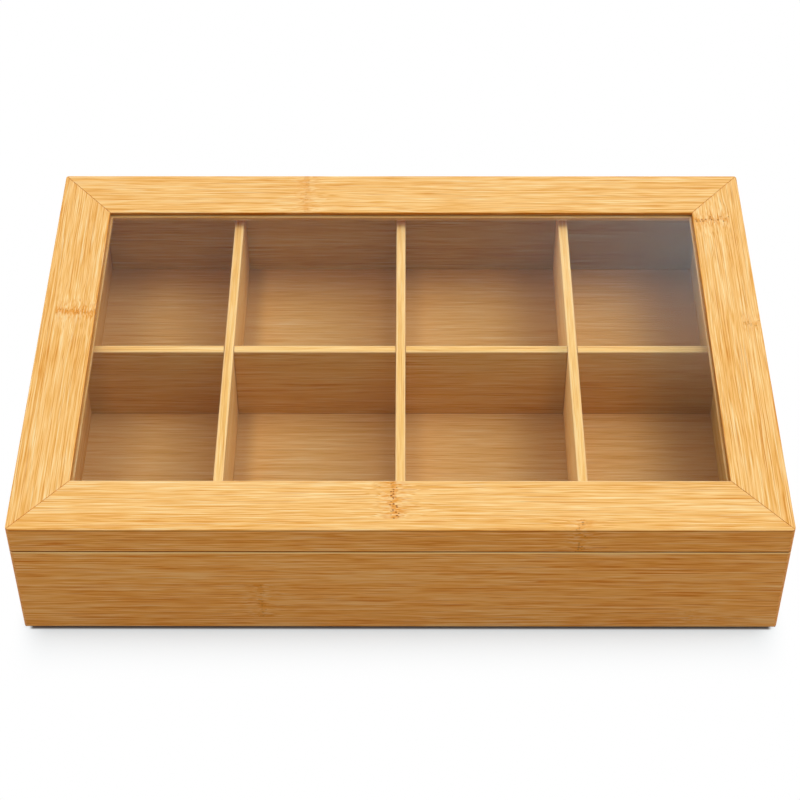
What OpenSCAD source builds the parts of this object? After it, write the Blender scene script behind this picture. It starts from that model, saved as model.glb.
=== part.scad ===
// Bamboo tea bag box: mitred walls, eight compartments and a hinged lid with a clear window.
// Lengths are in millimetres and angles in degrees. The origin is under the middle of the box, on the
// surface that it stands on. +X points right as seen from the front, +Y to the hinges, +Z up.

/* [Body] */
// Overall width, left to right
box_w = 340; // [300:1:400]
// Overall depth, front to back
box_d = 237; // [210:1:290]
// Height of the walls, from their lower edge to the seam under the lid
body_h = 53; // [44:0.5:75]
// Thickness of the left and right walls
side_wall_t = 20; // [15:0.5:20.5]
// Thickness of the front and back walls
end_wall_t = 15; // [14:0.5:20]
// Radius of the upright outer corners of body and lid
corner_r = 2; // [1:0.1:4]
// Radius along the lower outer edge of the walls
base_edge_r = 1.4; // [0.6:0.1:2.4]
// Bevel along the seam, on the body's upper outer edge
seam_bevel = 0.5; // [0.2:0.1:0.8]

/* [Floor] */
// Thickness of the floor panel
floor_t = 8; // [5:0.5:10]
// Height of the floor panel's underside above the walls' lower edge
floor_recess = 9; // [4:0.5:9]
// Depth of the groove that holds the floor panel in the walls
floor_groove = 6; // [3:0.5:7]
// Diameter of a foot pad
pad_d = 10; // [6:0.5:11]
// Thickness of a foot pad
pad_t = 1; // [0.6:0.1:2]

/* [Dividers] */
// Thickness of every divider
divider_t = 4.5; // [3:0.25:6]
// Height of the dividers above the seam, inside the closed lid
divider_rise = 5.8; // [2:0.2:6.8]
// Rounding of the dividers' upper edges
divider_edge_r = 0.6; // [0.2:0.1:1.2]
// Distance between neighbouring cross dividers
cross_spacing = 81; // [70:0.5:85]
// Place of the long divider, measured back from the middle of the box
long_divider_y = 1.5; // [-20:0.5:20]
// Depth of the housings that hold the dividers' ends in the walls
housing_depth = 3; // [2:0.5:5]

/* [Lid] */
// Height of the lid, from the seam to its top
lid_h = 14.5; // [13.5:0.5:20]
// Width of the left and right rails
side_rail_w = 25; // [24.5:0.5:34]
// Width of the front and back rails
end_rail_w = 28.5; // [24:0.5:36]
// Radius along the lid's upper outer edge
lid_edge_r = 0.5; // [0.3:0.1:1.5]
// Bevel along the seam, on the lid's lower outer edge
lid_bevel = 0.3; // [0.1:0.1:0.6]
// Radius along the window's upper edge
window_edge_r = 0.3; // [0.2:0.1:1]
// Width of the fine groove along each mitre on the lid's top
mitre_groove_w = 0.3; // [0.2:0.05:0.6]
// Depth of that groove
mitre_groove_d = 0.25; // [0.1:0.05:0.5]

/* [Window] */
// Thickness of the lip above the pane
lip_t = 1.5; // [1.2:0.1:3]
// Width of the rabbet that holds the pane, measured under the lip
rabbet_w = 4; // [3:0.5:4.5]
// Thickness of the clear pane
pane_t = 1; // [0.8:0.1:2]
// Thickness of the beads under the pane
bead_t = 1.9; // [0.8:0.1:2.4]
// Distance that the beads stand past the window's edge
bead_proud = 1.2; // [0.4:0.1:2]
// Radius along the beads' upper inner edge
bead_edge_r = 0.3; // [0.2:0.1:0.6]

/* [Hinges] */
// Distance of each hinge from the middle of the box
hinge_x = 100; // [60:1:125]
// Length of a hinge
hinge_l = 26; // [20:1:34]
// Distance of the hinge axis from the back face
hinge_inset = 5; // [4:0.1:6]
// Outer diameter of the knuckles
knuckle_d = 4; // [3.4:0.1:4.8]
// Number of knuckles on a hinge
knuckle_count = 5; // [3:2:7]
// Diameter of the hinge pin
pin_d = 1.8; // [1.2:0.1:2]
// Diameter of the pin's heads
pin_head_d = 3.2; // [2.4:0.1:3.4]
// Thickness of each head of the pin
pin_head_t = 0.8; // [0.5:0.1:1.2]
// Thickness of a hinge leaf
leaf_t = 1; // [0.8:0.1:1.3]
// Wood left between a leaf and the wall's inner face
leaf_cover = 1.5; // [0.5:0.1:2.5]
// Opening angle of the lid
lid_open = 96; // [80:1:110]
// Shank diameter of a hinge screw
screw_d = 2; // [1.6:0.1:2.4]
// Head diameter of a hinge screw
screw_head_d = 3.6; // [3:0.1:4]
// Height of a screw's countersunk head
screw_head_h = 0.8; // [0.5:0.1:0.9]
// Length of a hinge screw
screw_l = 9; // [6:0.5:11]
// Distance between the two screws of a leaf
screw_pitch = 15; // [10:0.5:20]

/* [Joinery] */
// Thickness of the loose splines across the mitres
spline_t = 3; // [2:0.5:4]
// Width of the loose splines, square to the mitre
spline_w = 7; // [5:0.5:8.5]
// Wood above and below the splines in the body's corners
spline_cover = 6; // [3:0.5:9]
// Gap on each side of a piece that sits in a groove, slot or housing
fit_gap = 0.05; // [0.02:0.01:0.1]
// Gap between the edge of the pane and the rails
pane_gap = 0.3; // [0.1:0.1:0.6]
// Gap between the dividers' raised ends and the lid
lid_gap = 0.5; // [0.3:0.1:1]
// Radial gap between a hinge pin and the knuckles
pin_gap = 0.05; // [0.02:0.01:0.1]
// Gap between neighbouring knuckles
knuckle_gap = 0.2; // [0.1:0.05:0.4]
// Gap around the hinge barrel in the wood
barrel_gap = 0.5; // [0.3:0.1:0.8]
// Angle left between the two back bevels when the lid is fully open
stop_gap = 1; // [0.5:0.5:3]

/* [Hidden] */
$fn = 64;
// Length by which a cut runs past the surface that it opens
over = 1;
// Depth, length and width of the cross recess in a screw's head
recess_depth = 0.45;
recess_l = 2.2;
recess_w = 0.5;
// Length of a screw's conical point
screw_tip = 1.6;

outer = [box_w, box_d];
cavity = [box_w - 2 * side_wall_t, box_d - 2 * end_wall_t];
window = [box_w - 2 * side_rail_w, box_d - 2 * end_rail_w];
rabbet = window + 2 * [rabbet_w, rabbet_w];
pane = rabbet - 2 * [pane_gap, pane_gap];
bead_hole = window - 2 * [bead_proud, bead_proud];

base_z = pad_t;
seam_z = base_z + body_h;
top_z = seam_z + lid_h;
floor_z = base_z + floor_recess;
floor_top = floor_z + floor_t;
divider_top = seam_z + divider_rise;
lap_z = (floor_top + divider_top) / 2;
lip_z = top_z - lip_t;
pane_z = lip_z - pane_t;
bead_z = pane_z - bead_t;

axis_y = box_d / 2 - hinge_inset;
bevel_angle = (lid_open + stop_gap) / 2;
leaf_w = end_wall_t - hinge_inset - leaf_cover;
knuckle_l = (hinge_l - (knuckle_count - 1) * knuckle_gap) / knuckle_count;
screw_y = axis_y - (leaf_w + knuckle_d / 2) / 2;
pin_l = hinge_l + 2 * fit_gap;
hinge_places = [-hinge_x, hinge_x];
cross_places = [-cross_spacing, 0, cross_spacing];

wall_colour = "#C48A4A";
rail_colour = "#EDBE7C";
floor_colour = "#C08F5C";
divider_colour = "#E9BC80";
bead_colour = "#D9A868";

// Plan of one side of a mitred frame, between an outer and an inner rectangle
function frame_side(side, out, in) =
    side == "front" ? [[-out.x, -out.y], [out.x, -out.y], [in.x, -in.y], [-in.x, -in.y]] / 2 :
    side == "back" ? [[out.x, out.y], [-out.x, out.y], [-in.x, in.y], [in.x, in.y]] / 2 :
    side == "left" ? [[-out.x, out.y], [-out.x, -out.y], [-in.x, -in.y], [-in.x, in.y]] / 2 :
    [[out.x, -out.y], [out.x, out.y], [in.x, in.y], [in.x, -in.y]] / 2;

// Direction of the mitre at a corner, for rails or walls of the given widths
function mitre_angle(sx, sy, side_w, end_w) = atan2(sy * end_w, sx * side_w);

// What a round or a bevel takes off the corner at the origin
module round_cut(r) {
    difference() {
        square(r);
        translate([r, r]) circle(r);
    }
}
module bevel_cut(b) {
    polygon([[0, 0], [b, 0], [0, b]]);
}

// A cut on both lower or both upper corners of a profile that is w wide
module low_corners(w, z) {
    translate([-w / 2, z]) children();
    translate([w / 2, z]) rotate(90) children();
}
module high_corners(w, z) {
    translate([w / 2, z]) rotate(180) children();
    translate([-w / 2, z]) rotate(270) children();
}

// A profile drawn across and up, run along Y or along X
module along_y(l) {
    rotate([90, 0, 0]) linear_extrude(l, center = true) children();
}
module along_x(l) {
    rotate([90, 0, 90]) linear_extrude(l, center = true) children();
}

// A box given by its plan size, centred on the origin, between two heights
module slab(size, z0, z1) {
    translate([-size.x / 2, -size.y / 2, z0]) cube([size.x, size.y, z1 - z0]);
}

// Outer shape of body and lid: the plan's round corners and the eased edges of both profiles
module plan_outline() {
    difference() {
        square(outer, center = true);
        low_corners(box_w, -box_d / 2) round_cut(corner_r);
        high_corners(box_w, box_d / 2) round_cut(corner_r);
    }
}
module body_profile(w) {
    difference() {
        translate([-w / 2, base_z]) square([w, body_h]);
        low_corners(w, base_z) round_cut(base_edge_r);
        high_corners(w, seam_z) bevel_cut(seam_bevel);
    }
}
module lid_profile(w) {
    difference() {
        translate([-w / 2, seam_z]) square([w, lid_h]);
        low_corners(w, seam_z) bevel_cut(lid_bevel);
        high_corners(w, top_z) round_cut(lid_edge_r);
    }
}
module body_envelope() {
    intersection() {
        translate([0, 0, base_z]) linear_extrude(body_h) plan_outline();
        along_y(box_d + over) body_profile(box_w);
        along_x(box_w + over) body_profile(box_d);
    }
}
module lid_envelope() {
    intersection() {
        translate([0, 0, seam_z]) linear_extrude(lid_h) plan_outline();
        along_y(box_d + over) lid_profile(box_w);
        along_x(box_w + over) lid_profile(box_d);
    }
}

// The bevel along the back edge that stops the lid; dir is -1 below the seam and 1 above it
module back_bevel(dir) {
    run = hinge_inset + over;
    along_x(box_w + 2 * over)
        polygon([[axis_y, seam_z], [axis_y + run, seam_z], [axis_y + run, seam_z + dir * run * tan(bevel_angle)]]);
}

// Hinge seats: room for the barrel, a mortise for each leaf and a hole for each screw
module at_hinge_axis(x) {
    translate([x, axis_y, seam_z]) rotate([0, 90, 0]) children();
}
module hinge_seat(dir) {
    depth = fit_gap + leaf_t;
    for (x = hinge_places) {
        at_hinge_axis(x)
            cylinder(d = knuckle_d + 2 * barrel_gap, h = hinge_l + 2 * (pin_head_t + barrel_gap), center = true);
        translate([x - hinge_l / 2 - fit_gap, axis_y - leaf_w - fit_gap, seam_z + (dir < 0 ? -depth : -over)])
            cube([hinge_l + 2 * fit_gap, leaf_w + fit_gap, depth + over]);
        screw_places(x)
            rotate([dir < 0 ? 180 : 0, 0, 0])
                cylinder(d = screw_d + 2 * fit_gap, h = fit_gap + screw_l + over);
    }
}
module screw_places(x) {
    for (s = [-1, 1])
        translate([x + s * screw_pitch / 2, screw_y, seam_z]) children();
}

// Loose splines in the four corners; grow widens them into their slots
module body_spline_shapes(grow) {
    for (sx = [-1, 1], sy = [-1, 1])
        translate([sx * (box_w - side_wall_t) / 2, sy * (box_d - end_wall_t) / 2, floor_top + spline_cover])
            rotate(mitre_angle(sx, sy, side_wall_t, end_wall_t))
                translate([-spline_t / 2 - grow, -spline_w / 2 - grow, 0])
                    cube([spline_t + 2 * grow, spline_w + 2 * grow, body_h - floor_recess - floor_t
                        - 2 * spline_cover + grow]);
}
module lid_spline_shapes(grow) {
    // Middle of the stretch of the mitre that lies over the walls
    reach = min(side_wall_t / side_rail_w, end_wall_t / end_rail_w) / 2;
    for (sx = [-1, 1], sy = [-1, 1])
        translate([sx * (box_w / 2 - reach * side_rail_w), sy * (box_d / 2 - reach * end_rail_w),
            seam_z + (lid_h - spline_t) / 2])
            rotate(mitre_angle(sx, sy, side_rail_w, end_rail_w))
                translate([-spline_w / 2 - grow, -spline_w / 2 - grow, 0])
                    cube([spline_w + 2 * grow, spline_w + 2 * grow, spline_t + grow]);
}

// Housings for the dividers' ends, open at the seam
module divider_housings() {
    slot = divider_t + 2 * fit_gap;
    height = seam_z - floor_top + over;
    for (x = cross_places)
        translate([x - slot / 2, -cavity.y / 2 - housing_depth, floor_top])
            cube([slot, cavity.y + 2 * housing_depth, height]);
    translate([-cavity.x / 2 - housing_depth, long_divider_y - slot / 2, floor_top])
        cube([cavity.x + 2 * housing_depth, slot, height]);
}

// One wall of the body
module wall(side) {
    color(wall_colour) difference() {
        intersection() {
            body_envelope();
            translate([0, 0, base_z]) linear_extrude(body_h) polygon(frame_side(side, outer, cavity));
        }
        slab(cavity + 2 * floor_groove * [1, 1], floor_z, floor_top + fit_gap);
        divider_housings();
        body_spline_shapes(fit_gap);
        if (side != "front") back_bevel(-1);
        if (side == "back") hinge_seat(-1);
    }
}

module floor_panel() {
    color(floor_colour) slab(cavity + 2 * (floor_groove - fit_gap) * [1, 1], floor_z, floor_top);
}

module foot_pads() {
    color("#3B342E")
        for (sx = [-1, 1], sy = [-1, 1])
            translate([sx * (box_w - side_wall_t) / 2, sy * (box_d - end_wall_t) / 2, 0])
                cylinder(d = pad_d, h = pad_t);
}

// A divider lying along X through the origin: the span between the walls, with its ends in their housings
module divider_board(span) {
    height = divider_top - floor_top;
    difference() {
        along_x(span + 2 * (housing_depth - fit_gap)) difference() {
            translate([-divider_t / 2, floor_top]) square([divider_t, height]);
            high_corners(divider_t, divider_top) round_cut(divider_edge_r);
        }
        for (s = [-1, 1])
            translate([s * (span / 2 - lid_gap) - (s < 0 ? span : 0), -divider_t, seam_z])
                cube([span, 2 * divider_t, divider_rise + over]);
    }
}

// The long divider is slotted from above, the cross dividers from below
module long_divider() {
    slot = divider_t + 2 * fit_gap;
    color(divider_colour) difference() {
        translate([0, long_divider_y, 0]) divider_board(cavity.x);
        for (x = cross_places)
            translate([x - slot / 2, long_divider_y - divider_t, lap_z])
                cube([slot, 2 * divider_t, divider_top - lap_z + over]);
    }
}
module cross_divider(x) {
    slot = divider_t + 2 * fit_gap;
    color(divider_colour) difference() {
        translate([x, 0, 0]) rotate(90) divider_board(cavity.y);
        translate([x - divider_t, long_divider_y - slot / 2, floor_top - over])
            cube([2 * divider_t, slot, lap_z - floor_top + over + fit_gap]);
    }
}

module body_splines() {
    color("#A87A48") body_spline_shapes(0);
}

// Round along the upper edge of a frame's hole, for the piece on one side
module hole_round(side, hole, z, r) {
    if (side == "front") along_x(box_w) translate([-hole.y / 2, z]) rotate(180) round_cut(r);
    if (side == "back") along_x(box_w) translate([hole.y / 2, z]) rotate(270) round_cut(r);
    if (side == "left") along_y(box_d) translate([-hole.x / 2, z]) rotate(180) round_cut(r);
    if (side == "right") along_y(box_d) translate([hole.x / 2, z]) rotate(270) round_cut(r);
}

// Fine groove along each mitre on the lid's top
module mitre_grooves() {
    for (sx = [-1, 1], sy = [-1, 1])
        translate([sx * (box_w - side_rail_w) / 2, sy * (box_d - end_rail_w) / 2, top_z])
            rotate(mitre_angle(sx, sy, side_rail_w, end_rail_w))
                cube([2 * (side_rail_w + end_rail_w), mitre_groove_w, 2 * mitre_groove_d], center = true);
}

// One rail of the lid: full height over the walls, a flange over the compartments, a rabbet for the pane
module rail(side) {
    color(rail_colour) difference() {
        intersection() {
            lid_envelope();
            translate([0, 0, seam_z]) linear_extrude(lid_h) polygon(frame_side(side, outer, window));
        }
        slab(cavity, seam_z - over, bead_z);
        slab(rabbet, bead_z - over, lip_z);
        hole_round(side, window, top_z, window_edge_r);
        mitre_grooves();
        lid_spline_shapes(fit_gap);
        if (side != "front") back_bevel(1);
        if (side == "back") hinge_seat(1);
    }
}

module lid_splines() {
    color("#A87A48") lid_spline_shapes(0);
}

module window_pane() {
    color([0.85, 0.92, 0.95, 0.35]) slab(pane, pane_z, lip_z);
}

module pane_bead(side) {
    color(bead_colour) difference() {
        translate([0, 0, bead_z]) linear_extrude(bead_t)
            polygon(frame_side(side, rabbet - 2 * fit_gap * [1, 1], bead_hole));
        hole_round(side, bead_hole, pane_z, bead_edge_r);
    }
}

// A countersunk screw that points down from the origin at its head
module screw() {
    difference() {
        union() {
            translate([0, 0, -screw_head_h]) cylinder(d1 = screw_d, d2 = screw_head_d, h = screw_head_h);
            translate([0, 0, screw_tip - screw_l]) cylinder(d = screw_d, h = screw_l - screw_tip - screw_head_h / 2);
            translate([0, 0, -screw_l]) cylinder(d1 = screw_d / 4, d2 = screw_d, h = screw_tip);
        }
        for (a = [0, 90])
            rotate(a) cube([recess_l, recess_w, 2 * recess_depth], center = true);
    }
}

// A leaf below the seam, with every other knuckle from the first one; the lid's leaf is its mirror image
module leaf(first) {
    starts = [for (i = [0 : knuckle_count - 1]) -hinge_l / 2 + i * (knuckle_l + knuckle_gap)];
    difference() {
        union() {
            difference() {
                translate([-hinge_l / 2, -leaf_w, -fit_gap - leaf_t]) cube([hinge_l, leaf_w, leaf_t]);
                for (i = [1 - first : 2 : knuckle_count - 1])
                    translate([starts[i] - knuckle_gap, 0, 0]) rotate([0, 90, 0])
                        cylinder(d = knuckle_d + 2 * knuckle_gap, h = knuckle_l + 2 * knuckle_gap);
            }
            for (i = [first : 2 : knuckle_count - 1])
                translate([starts[i], 0, 0]) rotate([0, 90, 0]) cylinder(d = knuckle_d, h = knuckle_l);
        }
        translate([-hinge_l, 0, 0]) rotate([0, 90, 0]) cylinder(d = pin_d + 2 * pin_gap, h = 2 * hinge_l);
        for (s = [-1, 1])
            translate([s * screw_pitch / 2, screw_y - axis_y, -fit_gap]) {
                translate([0, 0, -screw_head_h])
                    cylinder(d1 = screw_d + 2 * fit_gap, d2 = screw_head_d + 2 * fit_gap, h = screw_head_h);
                translate([0, 0, -leaf_t - over]) cylinder(d = screw_d + 2 * fit_gap, h = leaf_t + over);
            }
    }
}
module body_leaf(x) {
    color("#C9A24B") translate([x, axis_y, seam_z]) leaf(0);
}
module lid_leaf(x) {
    color("#C9A24B") translate([x, axis_y, seam_z]) mirror([0, 0, 1]) leaf(1);
}

module hinge_pin(x) {
    color("#B8923F") at_hinge_axis(x) {
        cylinder(d = pin_d, h = pin_l, center = true);
        for (s = [0, 180])
            rotate([s, 0, 0]) translate([0, 0, pin_l / 2])
                cylinder(d1 = pin_head_d, d2 = pin_head_d - pin_head_t, h = pin_head_t);
    }
}

module body_hinge_screws() {
    color("#B8923F")
        for (x = hinge_places)
            screw_places(x) translate([0, 0, -fit_gap]) screw();
}
module lid_hinge_screws() {
    color("#B8923F")
        for (x = hinge_places)
            screw_places(x) mirror([0, 0, 1]) translate([0, 0, -fit_gap]) screw();
}

wall("front");  // front_wall
wall("back");  // back_wall
wall("left");  // left_wall
wall("right");  // right_wall
floor_panel();
long_divider();
cross_divider(cross_places[0]);  // cross_divider_left
cross_divider(cross_places[1]);  // cross_divider_middle
cross_divider(cross_places[2]);  // cross_divider_right
body_splines();
foot_pads();
body_leaf(-hinge_x);  // body_leaf_left
body_leaf(hinge_x);  // body_leaf_right
hinge_pin(-hinge_x);  // hinge_pin_left
hinge_pin(hinge_x);  // hinge_pin_right
body_hinge_screws();
rail("front");  // lid_front_rail
rail("back");  // lid_back_rail
rail("left");  // lid_left_rail
rail("right");  // lid_right_rail
lid_splines();
window_pane();
pane_bead("front");  // pane_bead_front
pane_bead("back");  // pane_bead_back
pane_bead("left");  // pane_bead_left
pane_bead("right");  // pane_bead_right
lid_leaf(-hinge_x);  // lid_leaf_left
lid_leaf(hinge_x);  // lid_leaf_right
lid_hinge_screws();
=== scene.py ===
"""Looks of the tea bag organizer box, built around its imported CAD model.

Every wooden piece gets a bamboo finish of its own, worked out in millimetres in the box's frame.
Along a board, u runs with the grain, v across it in plan, and w is the height.
In the functions below, g is the graph of the material that they add to.
"""
from collections import namedtuple
import math

import bpy
from mathutils import Matrix, Vector


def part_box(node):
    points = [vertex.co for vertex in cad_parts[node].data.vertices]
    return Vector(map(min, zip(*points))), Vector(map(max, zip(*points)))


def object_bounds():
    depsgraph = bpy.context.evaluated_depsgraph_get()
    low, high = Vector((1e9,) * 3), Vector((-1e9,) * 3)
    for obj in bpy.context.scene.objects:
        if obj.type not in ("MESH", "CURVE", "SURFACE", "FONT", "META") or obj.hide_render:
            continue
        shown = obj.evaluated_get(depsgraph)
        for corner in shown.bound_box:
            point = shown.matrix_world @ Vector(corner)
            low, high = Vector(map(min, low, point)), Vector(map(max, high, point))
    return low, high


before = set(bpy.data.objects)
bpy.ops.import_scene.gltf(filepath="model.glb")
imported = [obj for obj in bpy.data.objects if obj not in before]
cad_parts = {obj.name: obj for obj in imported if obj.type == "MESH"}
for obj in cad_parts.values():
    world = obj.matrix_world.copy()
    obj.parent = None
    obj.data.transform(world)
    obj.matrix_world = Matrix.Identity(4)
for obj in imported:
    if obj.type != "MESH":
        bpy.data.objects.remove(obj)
cad_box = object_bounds()

MM = 0.001

# Camera, as the photograph was taken
CAMERA_AT = Vector((2.4, -709.0, 753.4)) * MM
CAMERA_PITCH = 45.696
CAMERA_YAW = 0.223
CAMERA_ROLL = -0.125
FOCAL_PX = 2103.6
IMAGE_PX = 800
SENSOR_W = 36.0

# Levels and outlines of the box, in millimetres, from the frame
HALF_W = cad_box[1].x / MM
HALF_D = cad_box[1].y / MM
TOP_Z = cad_box[1].z / MM
SEAM_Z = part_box("lid_front_rail")[0].z / MM
FLOOR_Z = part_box("floor_panel")[1].z / MM
WINDOW_HALF_W = -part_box("lid_left_rail")[1].x / MM
WINDOW_HALF_D = -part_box("lid_front_rail")[1].y / MM
CAVITY_HALF_W = -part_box("left_wall")[1].x / MM
CAVITY_HALF_D = -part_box("front_wall")[1].y / MM
DIVIDER_T = (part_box("long_divider")[1].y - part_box("long_divider")[0].y) / MM
DIVIDER_TOP_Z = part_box("long_divider")[1].z / MM
LEFT_X, MIDDLE_X, RIGHT_X = (
    (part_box(node)[0].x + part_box(node)[1].x) / 2 / MM
    for node in ("cross_divider_left", "cross_divider_middle", "cross_divider_right")
)

# Width of the narrow outer strip of a rail, and depth of wood that counts as a wall's outer face
OUTER_STRIP_W = 6.3
SKIN_T = 4.0


def srgb(red, green, blue):
    """A display colour from 0 to 255 as the linear RGBA that shaders take."""
    def linear(value):
        value /= 255
        return value / 12.92 if value <= 0.04045 else ((value + 0.055) / 1.055) ** 2.4
    return (linear(red), linear(green), linear(blue), 1.0)


class Graph:
    """Short calls that add nodes to one shader tree and link them."""

    def __init__(self, tree):
        tree.nodes.clear()
        self.tree = tree

    def add(self, kind, **settings):
        node = self.tree.nodes.new(kind)
        for name, value in settings.items():
            setattr(node, name, value)
        return node

    def feed(self, socket, value):
        if isinstance(value, bpy.types.NodeSocket):
            self.tree.links.new(value, socket)
        else:
            socket.default_value = value

    def math(self, operation, *values, clamp=False):
        node = self.add("ShaderNodeMath", operation=operation, use_clamp=clamp)
        for socket, value in zip(node.inputs, values):
            self.feed(socket, value)
        return node.outputs[0]

    def product(self, first, *others):
        for other in others:
            first = self.math("MULTIPLY", first, other)
        return first

    def distance(self, value, origin):
        """How far a value lies from an origin, either way."""
        return self.math("ABSOLUTE", self.math("SUBTRACT", value, origin))

    def vector(self, operation, *values):
        node = self.add("ShaderNodeVectorMath", operation=operation)
        for socket, value in zip(node.inputs, values):
            self.feed(socket, value)
        return node.outputs["Value" if operation in ("DOT_PRODUCT", "LENGTH") else "Vector"]

    def combine(self, x, y, z):
        node = self.add("ShaderNodeCombineXYZ")
        for socket, value in zip(node.inputs, (x, y, z)):
            self.feed(socket, value)
        return node.outputs[0]

    def split(self, vector):
        node = self.add("ShaderNodeSeparateXYZ")
        self.feed(node.inputs[0], vector)
        return node.outputs

    def place(self):
        """The point's place in the box's frame, in millimetres."""
        coordinates = self.add("ShaderNodeTexCoord")
        return self.vector("DIVIDE", coordinates.outputs["Object"], (MM, MM, MM))

    def noise(self, place, size, detail=1.0, roughness=0.5):
        """Smooth noise with blobs of the given size in millimetres, as (u, v, w)."""
        node = self.add("ShaderNodeTexNoise", noise_dimensions="3D")
        self.feed(node.inputs["Vector"], self.vector("DIVIDE", place, size))
        node.inputs["Scale"].default_value = 1.0
        node.inputs["Detail"].default_value = detail
        node.inputs["Roughness"].default_value = roughness
        return node.outputs["Fac"]

    def centred(self, value):
        """A noise value moved so that its mean is zero."""
        return self.math("SUBTRACT", value, 0.5)

    def step(self, value, low, high, to_low=0.0, to_high=1.0):
        """A smooth step from to_low at low to to_high at high."""
        node = self.add("ShaderNodeMapRange", interpolation_type="SMOOTHSTEP")
        for socket, number in zip(node.inputs[:5], (value, low, high, to_low, to_high)):
            self.feed(socket, number)
        return node.outputs[0]

    def band(self, value, low, high, soft):
        """1 where a value lies between low and high, with soft edges."""
        rise = self.step(value, low - soft, low + soft)
        fall = self.step(value, high + soft, high - soft)
        return self.product(rise, fall)

    def mix(self, share, first, second):
        node = self.add("ShaderNodeMix", data_type="RGBA")
        self.feed(node.inputs[0], share)
        self.feed(node.inputs[6], first)
        self.feed(node.inputs[7], second)
        return node.outputs[2]

    def ramp(self, value, stops):
        node = self.add("ShaderNodeValToRGB")
        elements = node.color_ramp.elements
        while len(elements) < len(stops):
            elements.new(0.5)
        for element, (position, colour) in zip(elements, stops):
            element.position = position
            element.color = colour
        self.feed(node.inputs[0], value)
        return node.outputs[0]

    def bump(self, height, distance, strength):
        node = self.add("ShaderNodeBump")
        node.inputs["Strength"].default_value = strength
        node.inputs["Distance"].default_value = distance
        self.feed(node.inputs["Height"], height)
        return node.outputs[0]

    def principled(self, colour, roughness, normal=None, **constants):
        shader = self.add("ShaderNodeBsdfPrincipled")
        self.feed(shader.inputs["Base Color"], colour)
        self.feed(shader.inputs["Roughness"], roughness)
        if normal is not None:
            self.feed(shader.inputs["Normal"], normal)
        for name, value in constants.items():
            shader.inputs[name.replace("_", " ")].default_value = value
        return shader.outputs[0]

    def blend(self, share, first, second):
        node = self.add("ShaderNodeMixShader")
        for socket, value in zip(node.inputs, (share, first, second)):
            self.feed(socket, value)
        return node.outputs[0]

    def seen(self):
        """1 for the rays that show the studio itself: camera, mirror and see-through rays."""
        path = self.add("ShaderNodeLightPath")
        shown = self.math("MAXIMUM", path.outputs["Is Camera Ray"], path.outputs["Is Glossy Ray"])
        return self.math("MAXIMUM", shown, path.outputs["Is Transmission Ray"])

    def finish(self, surface, kind="ShaderNodeOutputMaterial"):
        self.feed(self.add(kind).inputs["Surface"], surface)


def new_material(name):
    material = bpy.data.materials.new(name)
    material.use_nodes = True
    return material, Graph(material.node_tree)


def dress(node_name, material):
    """Gives a CAD node its finish."""
    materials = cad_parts[node_name].data.materials
    materials.clear()
    materials.append(material)


# How the tones of bamboo differ from its middle tone, in display levels: the grain from dark to light,
# the dark vessels and the pale silk
GRAIN_SHIFTS = (
    (0.0, (-25, -44, -55)),
    (0.25, (-9, -15, -22)),
    (0.5, (0, 0, 0)),
    (0.75, (6, 14, 22)),
    (1.0, (10, 30, 48)),
)
VESSEL_SHIFT = (-40, -64, -64)
SILK_SHIFT = (11, 40, 65)


def palette(middle, spread=1.0):
    """The grain's ramp, the vessels' tone and the silk's tone around a middle tone."""
    def shifted(shift):
        return srgb(*(min(max(level + spread * step, 0), 255) for level, step in zip(middle, shift)))
    return [(at, shifted(shift)) for at, shift in GRAIN_SHIFTS], shifted(VESSEL_SHIFT), shifted(SILK_SHIFT)


# Tones of the faces. Level faces take paler tones and upright and inner faces deeper ones: painted light and
# shade, for how the light falls on them.
TOP_TONES = palette((249, 193, 112))
OUTSIDE_TONES = palette((241, 165, 74))
EDGE_TONES = palette((248, 197, 114), 0.9)
FLOOR_TONES = palette((231, 182, 110), 0.9)
DIVIDER_TONES = palette((218, 171, 101), 0.9)
# Painted light: paler tones for the sides of the right cross divider.
PAINTED_LIGHT_DIVIDER_TONES = palette((240, 195, 121), 0.9)
LONG_TONES = palette((216, 170, 90), 0.9)
INSIDE_TONES = palette((207, 169, 90), 0.9)
LEFT_TONES = palette((206, 153, 79), 0.9)
BEAD_TONES = palette((212, 165, 98), 0.9)

# Tones of fine marks: dark joints and painted shade along edges, pale flecks, worn edges and painted
# highlights on edges, the painted highlight on the eased seam edge, and a ring's specks and stain
JOINT_AND_SHADE_TONE = srgb(138, 66, 4)
PALE_AND_HIGHLIGHT_TONE = srgb(255, 222, 164)
SEAM_HIGHLIGHT_TONE = srgb(255, 212, 136)
SPECK_TONE = srgb(150, 74, 0)
STAIN_TONE = srgb(230, 142, 8)

# Tones of painted shade on the wood, and of painted light on the right cross divider
CORNER_SHADE_TONE = srgb(204, 124, 44)
UNDER_RAIL_TONE = srgb(196, 124, 40)
REAR_PAINTED_LIGHT_TONE = srgb(238, 206, 158)
BACK_WALL_SHADE_TONE = srgb(110, 72, 32)
BASE_SHADE_TONE = srgb(60, 44, 34)
LONG_END_SHADE_TONE = srgb(160, 140, 90)
FLOOR_END_SHADE_TONE = srgb(152, 110, 70)

# Length along and width across the grain, in millimetres, and weight in the tone
GRAIN_LAYERS = (
    (260, 6.5, 0.26),
    (170, 2.6, 0.38),
    (120, 1.1, 0.50),
    (75, 0.62, 0.85),
    (55, 0.40, 1.40),
    (14, 0.45, 1.20),
)

# Boards are cut from one endless grain, this far apart along it and across it, and a rail's outer strip,
# which is a little darker, from further along
BOARD_STEP_U = 613.0
BOARD_STEP_V = 97.0
STRIP_STEP_U = 331.0
STRIP_LIFT = -0.08

# How fibres wander off their line, as sizes and reaches in millimetres: long wavers, and ripples that grow
# near the rings of the stalk
WAVER_SIZE = (90, 8, 8)
WAVER_REACH = 1.8
RIPPLE_SIZE = (13, 3.2, 3.2)
RIPPLE_REACH = 0.25
RIPPLE_GROWTH = 2.6

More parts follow.
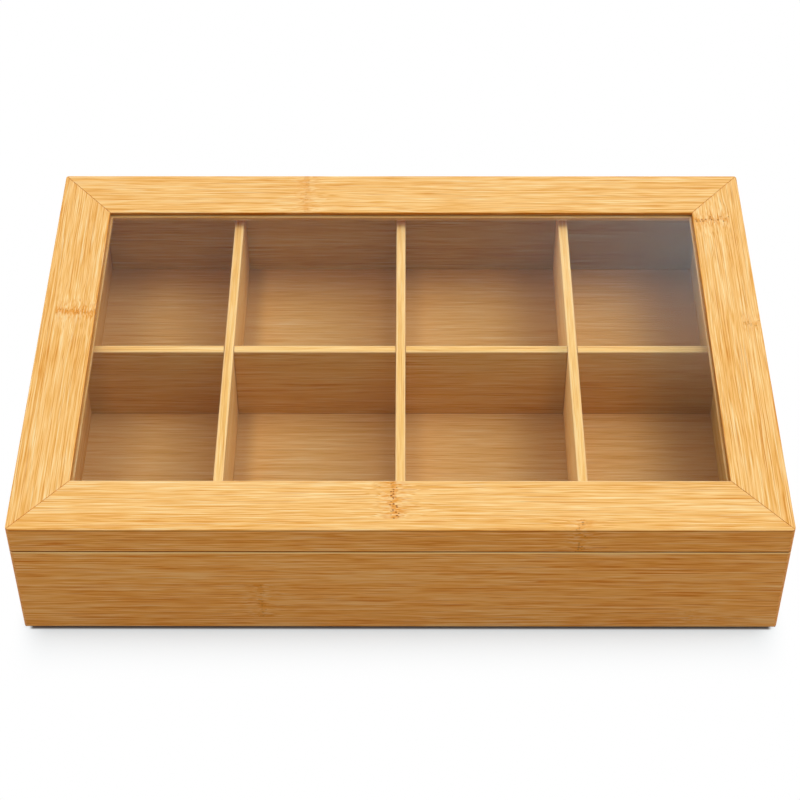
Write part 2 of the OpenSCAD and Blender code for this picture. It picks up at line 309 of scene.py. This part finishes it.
# Dark vessels and pale silk: where their noise is taken, their size, and the noise from which they show
Streaks = namedtuple("Streaks", "shift size start")
VESSELS = Streaks((71.0, 43.0, 17.0), (42, 0.5, 0.5), 0.62)
SILK = Streaks((191.0, 83.0, 57.0), (34, 0.7, 0.7), 0.60)
STREAKS_FULL = 0.76
STREAKS_SHARE = 0.6

# Planed bamboo: its mean roughness and how that falls in pale grain, its gloss, and its relief in metres
ROUGHNESS = 0.54
ROUGHNESS_FALL = -0.15
GLOSS = 0.15
RELIEF = 0.00004
RELIEF_STRENGTH = 0.4

# One ring where the stalk had its joint: its u, the v and w that it spans, its strength and its specks' share
Ring = namedtuple("Ring", "at v_range w_range strength specks")
EVERYWHERE = (-1000.0, 1000.0)

# Round a ring the fibres swell and are paler over this distance
SWELL_REACH = 24.0
SWELL_LIFT = 0.06

# Sizes of what lies along a ring: its wandering, its dashes, the pale flecks beside them and its specks
WANDER_SIZE = (400, 3.0, 3.0)
WANDER_REACH = 7.0
DASH_SIZE = (4.0, 0.6, 0.6)
FLECK_SIZE = (5.0, 0.6, 0.6)
FLECK_SHIFT = (37.0, 11.0, 5.0)
SPECK_SPACING = (1.25, 0.95, 0.95)

# The noise, the distance from the ring or the radius at which these start to show and show fully
DASH_NOISE = (0.46, 0.62)
DASH_OFFSET = (9.0, 1.5)
FLECK_NOISE = (0.52, 0.66)
FLECK_OFFSET = (11.0, 2.0)
LINE_OFFSET = (1.8, 0.6)
SPECK_RADIUS = (0.56, 0.28)
SPECK_OFFSET = (2.2, 1.3)
SPECK_DRAW = (0.20, 0.75)
LINE_SHARE = 0.8
STAIN_SHARE = 0.85
FLECK_SHARE = 0.6


def swell_near(g, place, rings):
    """How much the fibres swell and wander near the rings of the stalk."""
    u, v, w = g.split(place)
    near = 0.0
    for ring in rings:
        inside = g.product(g.band(v, *ring.v_range, 1.0), g.band(w, *ring.w_range, 1.0))
        swell = g.step(g.distance(u, ring.at), SWELL_REACH, 0.0, 0.0, ring.strength)
        near = g.math("ADD", near, g.math("MULTIPLY", swell, inside))
    return near


def mark_ring(g, place, colour, ring):
    """The stain, specks and short dashes along one ring, where the fibres end in the stalk's joint."""
    u, v, w = g.split(place)
    wander = g.product(g.centred(g.noise(place, WANDER_SIZE, 2.0)), WANDER_REACH)
    offset = g.distance(g.math("SUBTRACT", u, ring.at), wander)
    inside = g.product(g.band(v, *ring.v_range, 0.3), g.band(w, *ring.w_range, 0.3))
    beside = g.product(inside, ring.strength)

    dash = g.product(g.step(g.noise(place, DASH_SIZE), *DASH_NOISE), g.step(offset, *DASH_OFFSET))
    stain = g.math("MAXIMUM", dash, g.step(offset, *LINE_OFFSET, 0.0, LINE_SHARE))
    colour = g.mix(g.product(stain, beside, STAIN_SHARE), colour, STAIN_TONE)

    fleck = g.step(g.noise(g.vector("ADD", place, FLECK_SHIFT), FLECK_SIZE), *FLECK_NOISE)
    fleck = g.product(fleck, g.step(offset, *FLECK_OFFSET), beside, FLECK_SHARE)
    colour = g.mix(fleck, colour, PALE_AND_HIGHLIGHT_TONE)

    cells = g.add("ShaderNodeTexVoronoi", feature="F1")
    cells.inputs["Scale"].default_value = 1.0
    g.feed(cells.inputs["Vector"], g.vector("DIVIDE", place, SPECK_SPACING))
    draw = g.split(cells.outputs["Color"])[0]
    speck = g.product(g.step(cells.outputs["Distance"], *SPECK_RADIUS), g.step(offset, *SPECK_OFFSET), inside)
    return g.mix(g.product(speck, g.step(draw, *SPECK_DRAW, 0.0, ring.specks)), colour, SPECK_TONE)


def streaks(g, place, kind, contrast):
    """Where long fine streaks of a kind show."""
    noise = g.noise(g.vector("ADD", place, kind.shift), kind.size)
    return g.step(noise, kind.start, STREAKS_FULL, 0.0, STREAKS_SHARE * contrast)


def beyond(g, x, y, half_w, half_d, choice="MAXIMUM"):
    """How far a point lies outside a rectangle, or with MINIMUM outside both pairs of its sides."""
    past_w = g.math("SUBTRACT", g.math("ABSOLUTE", x), half_w)
    past_d = g.math("SUBTRACT", g.math("ABSOLUTE", y), half_d)
    return g.math(choice, past_w, past_d)


def bamboo(name, grain, seed, contrast=1.0, upper=TOP_TONES, sides=INSIDE_TONES, skin=None,
           rings=(), outer=None, marks=()):
    """One board of bamboo.

    grain is the axis that the fibres run along. upper and sides are the tones of its level and upright faces,
    and skin those of the upright faces on the outside of the box, where they differ.
    outer is the v where a rail's narrow outer strip starts, and its sign says on which side.
    marks are functions that give the share and the colour of a mark.
    """
    material, g = new_material(name)
    x, y, height = g.split(g.place())
    along, across = (x, y) if grain == "x" else (y, x)
    here = g.combine(along, across, height)

    shifted = g.math("ADD", along, seed * BOARD_STEP_U)
    strip = 0.0
    if outer is not None:
        strip = g.math("GREATER_THAN", g.math("MULTIPLY", across, math.copysign(1, outer)), abs(outer))
        shifted = g.math("MULTIPLY_ADD", strip, STRIP_STEP_U, shifted)
    place = g.combine(shifted, g.math("ADD", across, seed * BOARD_STEP_V), height)

    near = swell_near(g, here, rings)
    waver = g.centred(g.noise(place, WAVER_SIZE))
    ripple = g.centred(g.noise(place, RIPPLE_SIZE))
    ripple = g.math("MULTIPLY", ripple, g.math("MULTIPLY_ADD", near, RIPPLE_GROWTH, RIPPLE_REACH))
    bend = g.math("MULTIPLY_ADD", waver, WAVER_REACH, ripple)
    warped = g.vector("ADD", place, g.combine(0.0, bend, bend))

    tone = g.math("MULTIPLY_ADD", near, SWELL_LIFT, 0.5)
    for length, width, weight in GRAIN_LAYERS:
        layer = g.centred(g.noise(warped, (length, width, width)))
        tone = g.math("MULTIPLY_ADD", layer, weight * contrast, tone)
    if outer is not None:
        tone = g.math("MULTIPLY_ADD", strip, STRIP_LIFT, tone)
    vessels = streaks(g, warped, VESSELS, contrast)
    silk = streaks(g, warped, SILK, contrast)

    def in_tones(tones):
        grain_tones, vessel, pale = tones
        return g.mix(vessels, g.mix(silk, g.ramp(tone, grain_tones), pale), vessel)

    colour = in_tones(sides)
    if skin is not None:
        outside = g.step(beyond(g, x, y, HALF_W - SKIN_T, HALF_D - SKIN_T), -0.5, 0.5)
        colour = g.mix(outside, colour, in_tones(skin))
    # Painted light and shade: faces turned up take the paler upper tones, the others the deeper side tones.
    if upper is not sides:
        level = g.split(g.add("ShaderNodeTexCoord").outputs["Normal"])[2]
        colour = g.mix(g.step(level, 0.25, 0.85), colour, in_tones(upper))
    for ring in rings:
        colour = mark_ring(g, here, colour, ring)
    for mark in marks:
        share, tint = mark(g, x, y, height)
        colour = g.mix(share, colour, tint)

    bump = g.bump(g.math("SUBTRACT", tone, vessels), RELIEF, RELIEF_STRENGTH)
    roughness = g.math("MULTIPLY_ADD", tone, ROUGHNESS_FALL, ROUGHNESS)
    g.finish(g.principled(colour, roughness, bump, Specular_IOR_Level=GLOSS))
    return material


# Marks along joints and edges. Each says how much of a tone it lays at a point of the box.
def mitre_line(inner_w, inner_d, strength):
    """Glue line in the plane from the box's outer corners to the corners of an inner rectangle."""
    across_w = HALF_W - inner_w
    across_d = HALF_D - inner_d
    slant = across_w * across_d / math.hypot(across_w, across_d)

    def mark(g, x, y, height):
        share_w = g.math("DIVIDE", g.math("SUBTRACT", HALF_W, g.math("ABSOLUTE", x)), across_w)
        share_d = g.math("DIVIDE", g.math("SUBTRACT", HALF_D, g.math("ABSOLUTE", y)), across_d)
        gap = g.math("MULTIPLY", g.distance(share_w, share_d), slant)
        return g.step(gap, 0.30, 0.08, 0.0, strength), JOINT_AND_SHADE_TONE
    return mark


def height_line(low, high, soft, share, tint=JOINT_AND_SHADE_TONE, where=None):
    """A level line between two heights, all round or only where a function of x and y says."""
    def mark(g, x, y, height):
        line = g.product(g.band(height, low, high, soft), share)
        if where is not None:
            line = g.product(line, where(g, x, y))
        return line, tint
    return mark


def at_outline(g, x, y):
    """1 close to the outside of the box."""
    return g.step(beyond(g, x, y, HALF_W, HALF_D), -1.1, -0.7)


def at_window(g, x, y):
    """1 close to the edges of the window."""
    return g.step(beyond(g, x, y, WINDOW_HALF_W, WINDOW_HALF_D), 1.0, 0.6)


def painted_corner_shade(g, x, y, height):
    """Painted shade on the rounded upright corners, which dims the light they catch."""
    corner = g.step(beyond(g, x, y, HALF_W, HALF_D, "MINIMUM"), -2.2, -1.2, 0.0, 0.3)
    return g.product(corner, g.step(height, TOP_Z - 0.5, TOP_Z - 1.0)), CORNER_SHADE_TONE


def window_edge_wear_and_highlight(g, x, y, height):
    """Pale line along the front edge of the window: wear where fingers lift the lid, and a painted highlight
    on the rounded edge.
    """
    edge = g.step(g.math("ADD", y, WINDOW_HALF_D), -0.9, -0.3)
    return g.product(edge, g.step(height, TOP_Z - 0.4, TOP_Z - 0.1), 0.45), PALE_AND_HIGHLIGHT_TONE


def bead_shade(g, x, y, height):
    """Shade on the side beads, close under the rails."""
    shade = g.step(g.math("ABSOLUTE", x), WINDOW_HALF_W - 0.8, WINDOW_HALF_W - 0.5, 0.0, 0.6)
    return shade, UNDER_RAIL_TONE


def divider_edge_highlights(node, axis):
    """Painted highlight along both upper edges of a divider that runs along an axis."""
    low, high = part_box(node)
    middle = (low.y + high.y) / 2 / MM if axis == "x" else (low.x + high.x) / 2 / MM
    top = high.z / MM

    def mark(g, x, y, height):
        off = g.distance(y if axis == "x" else x, middle)
        edge = g.step(off, DIVIDER_T / 2 - 1.1, DIVIDER_T / 2 - 0.5, 0.0, 0.5)
        return g.product(edge, g.step(height, top - 0.7, top - 0.4)), PALE_AND_HIGHLIGHT_TONE
    return mark


def lap_lines(g, x, y, height):
    """Fine lines where the cross dividers pass over the long one."""
    line = 0.0
    for at in (LEFT_X, MIDDLE_X, RIGHT_X):
        beside = g.band(g.distance(x, at), DIVIDER_T / 2 - 0.5, DIVIDER_T / 2 + 0.35, 0.1)
        line = g.math("MAXIMUM", line, beside)
    return g.product(line, 0.4), JOINT_AND_SHADE_TONE


# The end of a stretch of painted shade on a board: the x where it starts, its reach, to the left if negative,
# and its share
End = namedtuple("End", "start reach share")


def painted_shade_at_ends(ends, tint):
    """Painted shade: a board is darker near the pieces across it, where they shade it."""
    def mark(g, x, y, height):
        shade = 0.0
        for end in ends:
            off = g.math("MULTIPLY", g.math("SUBTRACT", x, end.start), math.copysign(1, end.reach))
            fade = g.step(off, abs(end.reach), abs(end.reach) / 4, 0.0, end.share)
            shade = g.math("MAXIMUM", shade, g.product(fade, g.math("GREATER_THAN", off, 0.0)))
        return shade, tint
    return mark


def painted_light_at_rear(g, x, y, height):
    """Painted light: the sides of the right cross divider are paler towards the back."""
    sides = g.step(height, DIVIDER_TOP_Z - 0.4, DIVIDER_TOP_Z - 0.8)
    return g.product(g.step(y, -10.0, CAVITY_HALF_D, 0.0, 0.3), sides), REAR_PAINTED_LIGHT_TONE


def painted_back_wall_shade(g, x, y, height):
    """Painted shade: the inside of the back wall is darker towards the right."""
    inner = g.step(y, HALF_D - SKIN_T, HALF_D - SKIN_T - 1.0)
    return g.product(g.step(x, -60.0, 150.0, 0.0, 0.48), inner), BACK_WALL_SHADE_TONE


# Finishes of the wooden pieces, each with its own seed
def dress_rails():
    rails = {
        "lid_front_rail": dict(
            grain="x", seed=1, outer=-(HALF_D - OUTER_STRIP_W),
            rings=(Ring(-2.6, (-112.0, -90.0), EVERYWHERE, 1.0, 1.0),
                   Ring(78.0, (-119.0, -112.4), EVERYWHERE, 0.6, 0.5))),
        "lid_back_rail": dict(
            grain="x", seed=2,
            rings=(Ring(-47.5, (90.0, 119.0), EVERYWHERE, 0.6, 0.15),)),
        "lid_left_rail": dict(
            grain="y", seed=3, outer=-(HALF_W - OUTER_STRIP_W),
            rings=(Ring(18.0, (-163.7, -144.0), EVERYWHERE, 1.0, 0.3),)),
        "lid_right_rail": dict(
            grain="y", seed=4, outer=HALF_W - OUTER_STRIP_W,
            rings=(Ring(85.0, (144.0, 163.0), EVERYWHERE, 0.8, 0.8),
                   Ring(10.0, (161.0, 171.0), EVERYWHERE, 0.5, 0.3))),
    }
    rail_marks = (
        mitre_line(WINDOW_HALF_W, WINDOW_HALF_D, strength=0.15),
        # Painted shade along the lid's lower edge at the seam.
        height_line(SEAM_Z - 1.0, SEAM_Z + 0.35, soft=0.1, share=0.9, where=at_outline),
        # Painted shade: a dark line just under the lid's top edge, on its outside.
        height_line(TOP_Z - 1.2, TOP_Z - 0.5, soft=0.1, share=0.45, where=at_outline),
        # Painted shade on the inner faces of the window's edges.
        height_line(TOP_Z - 1.6, TOP_Z - 0.6, soft=0.2, share=0.35, where=at_window),
        painted_corner_shade,
    )
    for node, look in rails.items():
        marks = rail_marks + ((window_edge_wear_and_highlight,) if node == "lid_front_rail" else ())
        dress(node, bamboo("bamboo_" + node, contrast=1.1, sides=OUTSIDE_TONES, marks=marks, **look))


def dress_walls():
    walls = {
        "front_wall": dict(
            grain="x",
            rings=(Ring(-61.8, (-119.0, -104.0), (9.0, 32.0), 0.6, 0.3),
                   Ring(130.0, (-119.0, -104.0), (4.0, 14.0), 0.4, 0.1))),
        "back_wall": dict(grain="x"),
        "left_wall": dict(grain="y", sides=LEFT_TONES),
        "right_wall": dict(grain="y"),
    }
    wall_marks = (
        mitre_line(CAVITY_HALF_W, CAVITY_HALF_D, strength=0.6),
        # Painted highlight: a pale line on the body's eased edge just below the seam.
        height_line(SEAM_Z - 1.3, SEAM_Z - 0.5, soft=0.1, share=1.0, tint=SEAM_HIGHLIGHT_TONE, where=at_outline),
        # Painted shade in the seam's groove, on the body's edge.
        height_line(SEAM_Z - 0.42, SEAM_Z + 1.0, soft=0.1, share=0.95, where=at_outline),
        # Painted shade: a dark line along the bottom of the walls.
        height_line(-1.0, 2.0, soft=0.3, share=0.8, tint=BASE_SHADE_TONE),
        painted_corner_shade,
    )
    for seed, (node, look) in enumerate(walls.items(), start=5):
        look["marks"] = wall_marks + ((painted_back_wall_shade,) if node == "back_wall" else ())
        dress(node, bamboo("bamboo_" + node, seed=seed, contrast=1.2, skin=OUTSIDE_TONES, **look))


def dress_dividers():
    # Painted shade in the crease where the dividers meet the floor panel, over a fine glue joint.
    foot_shade_line = height_line(FLOOR_Z - 1.0, FLOOR_Z + 0.4, soft=0.2, share=0.5)
    # Painted shade on the long divider near the left wall, the right cross divider and the right wall.
    ends = (
        End(-CAVITY_HALF_W, reach=14.0, share=0.3),
        End(RIGHT_X, reach=-16.0, share=0.35),
        End(CAVITY_HALF_W, reach=-50.0, share=0.5),
    )
    dividers = {
        "long_divider": ("x", LONG_TONES, (painted_shade_at_ends(ends, LONG_END_SHADE_TONE), lap_lines)),
        "cross_divider_left": ("y", DIVIDER_TONES, ()),
        "cross_divider_middle": ("y", DIVIDER_TONES, ()),
        "cross_divider_right": ("y", PAINTED_LIGHT_DIVIDER_TONES, (painted_light_at_rear,)),
    }
    for seed, (node, (grain, tones, marks)) in enumerate(dividers.items(), start=9):
        marks = (divider_edge_highlights(node, grain), foot_shade_line) + marks
        dress(node, bamboo("bamboo_" + node, grain, seed, 0.9, upper=EDGE_TONES, sides=tones, marks=marks))


def dress_beads():
    beads = {"pane_bead_front": "x", "pane_bead_back": "x", "pane_bead_left": "y", "pane_bead_right": "y"}
    for seed, (node, grain) in enumerate(beads.items(), start=13):
        marks = (bead_shade,) if grain == "y" else ()
        dress(node, bamboo("bamboo_" + node, grain, seed, 0.8, BEAD_TONES, BEAD_TONES, marks=marks))


def dress_splines():
    for seed, node in enumerate(("body_splines", "lid_splines"), start=17):
        dress(node, bamboo("bamboo_" + node, "x", seed, 0.7))


def dress_floor_panel():
    half_t = DIVIDER_T / 2
    # Painted shade on the floor panel near the walls and the cross dividers.
    ends = (
        End(-CAVITY_HALF_W, reach=36.0, share=0.42),
        End(LEFT_X + half_t, reach=12.0, share=0.5),
        End(MIDDLE_X - half_t, reach=-12.0, share=0.15),
        End(MIDDLE_X + half_t, reach=12.0, share=0.25),
        End(RIGHT_X - half_t, reach=-34.0, share=0.36),
        End(CAVITY_HALF_W, reach=-42.0, share=0.5),
    )
    marks = (painted_shade_at_ends(ends, FLOOR_END_SHADE_TONE),)
    dress("floor_panel", bamboo("bamboo_floor_panel", "x", 19, 0.75, FLOOR_TONES, FLOOR_TONES, marks=marks))


# Glass, brass and rubber
GLASS_IOR = 1.15
BRASS_BRIGHT = srgb(214, 172, 96)
BRASS_DULL = srgb(182, 138, 70)
RUBBER_DARK = srgb(52, 50, 48)
RUBBER_PALE = srgb(74, 71, 68)


def glass():
    """Clear pane. Lamps shine through it, so shadow and diffuse rays pass unbent."""
    material, g = new_material("clear_glass")
    clear = g.principled((1, 1, 1, 1), 0.0, Transmission_Weight=1.0, IOR=GLASS_IOR)
    path = g.add("ShaderNodeLightPath")
    passing = g.math("MAXIMUM", path.outputs["Is Shadow Ray"], path.outputs["Is Diffuse Ray"])
    g.finish(g.blend(passing, clear, g.add("ShaderNodeBsdfTransparent").outputs[0]))
    return material


def brass():
    """Drawn and lightly worn brass, with fine scratches along the barrel."""
    material, g = new_material("brushed_brass")
    place = g.place()
    scratches = g.noise(place, (9, 0.12, 0.12), 2.0)
    tarnish = g.noise(place, (4, 4, 4), 3.0)
    colour = g.mix(g.step(tarnish, 0.35, 0.7), BRASS_BRIGHT, BRASS_DULL)
    roughness = g.math("MULTIPLY_ADD", scratches, 0.25, 0.22)
    g.finish(g.principled(colour, roughness, g.bump(scratches, 0.00002, 0.6), Metallic=1.0))
    return material


def rubber():
    material, g = new_material("grey_rubber")
    grit = g.noise(g.place(), (0.5, 0.5, 0.5), 3.0)
    colour = g.mix(grit, RUBBER_DARK, RUBBER_PALE)
    g.finish(g.principled(colour, 0.8, g.bump(grit, 0.00003, 0.5)))
    return material


# Soft lights, each as its direction, sharpness and strength, over a dim surround
STUDIO_LIGHTS = (
    ((0, 0, 1), 14, 1.30),
    ((0, 0.57, 0.82), 14, 0.69),
    ((0.57, 0, 0.82), 14, 3.30),
    ((0, 0.93, 0.37), 14, 2.32),
    ((0.93, 0, 0.37), 14, 2.82),
    ((-0.93, 0, 0.37), 14, 4.13),
)
STUDIO_SURROUND = 0.22

# A bluish sky light low behind the box, seen only as a reflection in the pane: its strength in the middle and
# how that grows with the square of the way to the right, up to the rightmost, and where it fades above,
# below and in front
SKY_TONE = (0.62, 0.86, 0.94, 1.0)
SKY_POWER = 0.9
SKY_GROWTH = 265.0
SKY_RIGHTMOST = 0.2
SKY_ABOVE = (0.715, 0.66)
SKY_BELOW = (0.56, 0.62)
SKY_FRONT = (0.60, 0.70)

# The floor's shadow fades out over this distance in front of the box and behind it, in millimetres,
# and between these places towards its sides
SHADOW_REACH = 32.0
SHADOW_SIDES = (HALF_W + 6.0, HALF_W - 12.0)
SHADOW_FALL = 2.2
SHADOW_SHARE = 0.62

# Painted shadow: where the dark line under the box starts and is full, past its sides and past its front and
# back
CONTACT_SIDES = (-1.0, -4.0)
CONTACT_ENDS = (0.9, -0.4)
CONTACT_SHADOW_TONE = (0.42, 0.38, 0.36, 1.0)
# The paper is bluish, which cancels the warm light that the box bounces onto it.
PAPER_TONE = (0.80, 0.92, 0.99, 1.0)
BOUNCE_TONE = (0.60, 0.60, 0.60, 1.0)
FLOOR_W = 20
WHITE = (1, 1, 1, 1)


def light_world():
    world = bpy.data.worlds.new("studio")
    world.use_nodes = True
    bpy.context.scene.world = world
    g = Graph(world.node_tree)
    direction = g.add("ShaderNodeTexCoord").outputs["Generated"]

    strength = STUDIO_SURROUND
    for axis, sharpness, power in STUDIO_LIGHTS:
        facing = g.math("MAXIMUM", g.vector("DOT_PRODUCT", direction, Vector(axis).normalized()), 0.0)
        strength = g.math("MULTIPLY_ADD", g.math("POWER", facing, sharpness), power, strength)
    studio = g.add("ShaderNodeBackground")
    g.feed(studio.inputs["Strength"], strength)
    white = g.add("ShaderNodeBackground")
    white.inputs["Color"].default_value = WHITE

    right, back, up = g.split(direction)
    glossy = g.add("ShaderNodeLightPath").outputs["Is Glossy Ray"]
    patch = g.product(g.step(up, *SKY_ABOVE), g.step(up, *SKY_BELOW), g.step(back, *SKY_FRONT), glossy)
    rightward = g.math("MINIMUM", g.math("MAXIMUM", right, 0.0), SKY_RIGHTMOST)
    power = g.math("MULTIPLY_ADD", g.math("POWER", rightward, 2.0), SKY_GROWTH, SKY_POWER)
    sky = g.add("ShaderNodeBackground")
    sky.inputs["Color"].default_value = SKY_TONE
    g.feed(sky.inputs["Strength"], g.product(power, patch))
    mirrored = g.add("ShaderNodeAddShader")
    g.feed(mirrored.inputs[0], white.outputs[0])
    g.feed(mirrored.inputs[1], sky.outputs[0])
    g.finish(g.blend(g.seen(), studio.outputs[0], mirrored.outputs[0]), "ShaderNodeOutputWorld")


def lay_floor():
    """White paper: lit where the box shades it, and plain white further off."""
    bpy.ops.mesh.primitive_plane_add(size=FLOOR_W)
    floor = bpy.context.object
    floor.name = "studio_floor"
    material, g = new_material("floor_white")
    x, y, _ = g.split(g.place())
    beyond_x = g.math("SUBTRACT", g.math("ABSOLUTE", x), HALF_W)
    beyond_y = g.math("SUBTRACT", g.math("ABSOLUTE", y), HALF_D)
    away_x = g.math("MAXIMUM", beyond_x, 0.0)
    away_y = g.math("MAXIMUM", beyond_y, 0.0)
    away = g.vector("LENGTH", g.combine(away_x, away_y, 0.0))
    shade = g.math("SUBTRACT", 1.0, g.math("DIVIDE", away, SHADOW_REACH), clamp=True)
    middle = g.step(g.math("ABSOLUTE", x), *SHADOW_SIDES)
    shade = g.product(g.math("POWER", shade, SHADOW_FALL), middle, SHADOW_SHARE)
    # Painted shadow: the paper takes a dark tone under the box's edges.
    contact_shadow = g.product(g.step(beyond_x, *CONTACT_SIDES), g.step(beyond_y, *CONTACT_ENDS))
    shade = g.math("MAXIMUM", shade, contact_shadow)

    bounce = g.add("ShaderNodeBsdfDiffuse")
    bounce.inputs["Color"].default_value = BOUNCE_TONE
    paper = g.add("ShaderNodeBsdfDiffuse")
    g.feed(paper.inputs["Color"], g.mix(contact_shadow, PAPER_TONE, CONTACT_SHADOW_TONE))
    white = g.add("ShaderNodeEmission")
    white.inputs["Color"].default_value = WHITE
    shown = g.blend(shade, white.outputs[0], paper.outputs[0])
    g.finish(g.blend(g.seen(), bounce.outputs[0], shown))
    floor.data.materials.append(material)


def place_camera():
    data = bpy.data.cameras.new("camera")
    camera = bpy.data.objects.new("camera", data)
    bpy.context.scene.collection.objects.link(camera)
    data.sensor_width = SENSOR_W
    data.lens = FOCAL_PX * SENSOR_W / IMAGE_PX
    turn = Matrix.Rotation(math.radians(CAMERA_YAW), 4, "Z")
    tilt = Matrix.Rotation(math.radians(90 - CAMERA_PITCH), 4, "X")
    roll = Matrix.Rotation(math.radians(CAMERA_ROLL), 4, "Z")
    camera.matrix_world = Matrix.Translation(CAMERA_AT) @ turn @ tilt @ roll
    bpy.context.scene.camera = camera


place_camera()
light_world()
lay_floor()
dress_rails()
dress_walls()
dress_dividers()
dress_beads()
dress_splines()
dress_floor_panel()
dress("window_pane", glass())
brass_finish = brass()
for node in ("body_leaf_left", "body_leaf_right", "lid_leaf_left", "lid_leaf_right", "hinge_pin_left",
             "hinge_pin_right", "body_hinge_screws", "lid_hinge_screws"):
    dress(node, brass_finish)
dress("foot_pads", rubber())

bpy.context.scene.view_settings.view_transform = "Standard"
